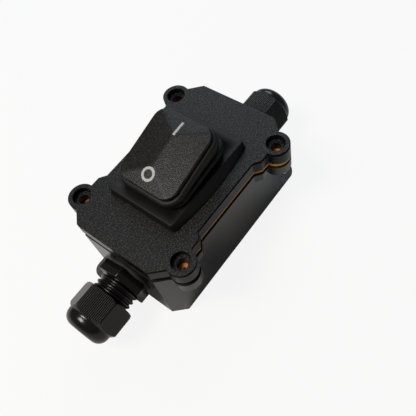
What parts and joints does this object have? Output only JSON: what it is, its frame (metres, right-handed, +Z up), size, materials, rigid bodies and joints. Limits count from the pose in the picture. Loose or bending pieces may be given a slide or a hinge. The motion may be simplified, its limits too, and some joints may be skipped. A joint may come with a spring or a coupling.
{
  "type": "industrial rocker switch",
  "caption": "Weatherproof in-line switch box: booted rocker on a gasketed lid, a cable gland at each end and screw feet at opposite corners.",
  "frame": {"origin": "middle of the box's underside", "axes": "+X along the cable towards the ON end of the rocker, +Y across the box, +Z up"},
  "size_m": [0.1245, 0.0576, 0.0555],
  "materials": {
    "case": "fine-grained black moulding",
    "gasket": "orange flat gasket",
    "housing": "black nylon moulding",
    "rocker": "fine-textured black moulding",
    "boot": "matt black rubber",
    "gland": "smooth black nylon",
    "gland_rubber": "black rubber",
    "spring_steel": "bright spring wire",
    "terminal_brass": "plain stamped brass",
    "contact_silver": "silver contact rivet"
  },
  "bodies": {
    "case": {"base_box": "case", "lid": "case", "gasket": "gasket", "switch_housing": "housing", "rubber_boot": "boot", "fixed_contact_left": "contact_silver", "centre_terminal_left": "terminal_brass", "end_terminal_left": "terminal_brass", "fixed_contact_right": "contact_silver", "centre_terminal_right": "terminal_brass", "end_terminal_right": "terminal_brass", "gland_body_near": "gland", "gland_washer_near": "gland_rubber", "gland_locknut_near": "gland", "gland_body_far": "gland", "gland_washer_far": "gland_rubber", "gland_locknut_far": "gland"},
    "rocker": {"rocker": "rocker", "plunger_left": "housing", "plunger_spring_left": "spring_steel", "plunger_right": "housing", "plunger_spring_right": "spring_steel"},
    "contact_left": {"contact_bar_left": "terminal_brass", "moving_contact_left": "contact_silver"},
    "contact_right": {"contact_bar_right": "terminal_brass", "moving_contact_right": "contact_silver"},
    "insert_near": {"gland_claw_near": "gland", "gland_seal_near": "gland_rubber"},
    "nut_near": {"gland_dome_nut_near": "gland"},
    "insert_far": {"gland_claw_far": "gland", "gland_seal_far": "gland_rubber"},
    "nut_far": {"gland_dome_nut_far": "gland"}
  },
  "joints": [
    {"name": "rocker_tilt", "type": "hinge", "parent": "case", "child": "rocker", "pos_m": [0, 0, 0.0411], "axis": [0, 1, 0], "range_deg": [0, 28.6], "deforming": ["rubber_boot"]},
    {"name": "contact_left_rock", "type": "hinge", "parent": "case", "child": "contact_left", "pos_m": [0, 0.0044, 0.0272], "axis": [0, 1, 0], "range_deg": [-10, 0]},
    {"name": "contact_right_rock", "type": "hinge", "parent": "case", "child": "contact_right", "pos_m": [0, -0.0044, 0.0272], "axis": [0, 1, 0], "range_deg": [-10, 0]},
    {"name": "nut_near_travel", "type": "slide", "parent": "case", "child": "insert_near", "axis": [1, 0, 0], "range_m": [0, 0.004]},
    {"name": "nut_near_turn", "type": "hinge", "parent": "insert_near", "child": "nut_near", "pos_m": [-0.052, 0, 0.0157], "axis": [1, 0, 0], "range_deg": [0, 720]},
    {"name": "nut_far_travel", "type": "slide", "parent": "case", "child": "insert_far", "axis": [-1, 0, 0], "range_m": [-0.0035, 0.0005]},
    {"name": "nut_far_turn", "type": "hinge", "parent": "insert_far", "child": "nut_far", "pos_m": [0.052, 0, 0.0157], "axis": [-1, 0, 0], "range_deg": [-630, 90]}
  ],
  "couplings": [
    {"joint": "contact_left_rock", "follows": "rocker_tilt", "ratio": -0.34965},
    {"joint": "contact_right_rock", "follows": "rocker_tilt", "ratio": -0.34965},
    {"joint": "nut_near_travel", "follows": "nut_near_turn", "m_per_rad": 0.00031831},
    {"joint": "nut_far_travel", "follows": "nut_far_turn", "m_per_rad": 0.00031831}
  ]
}
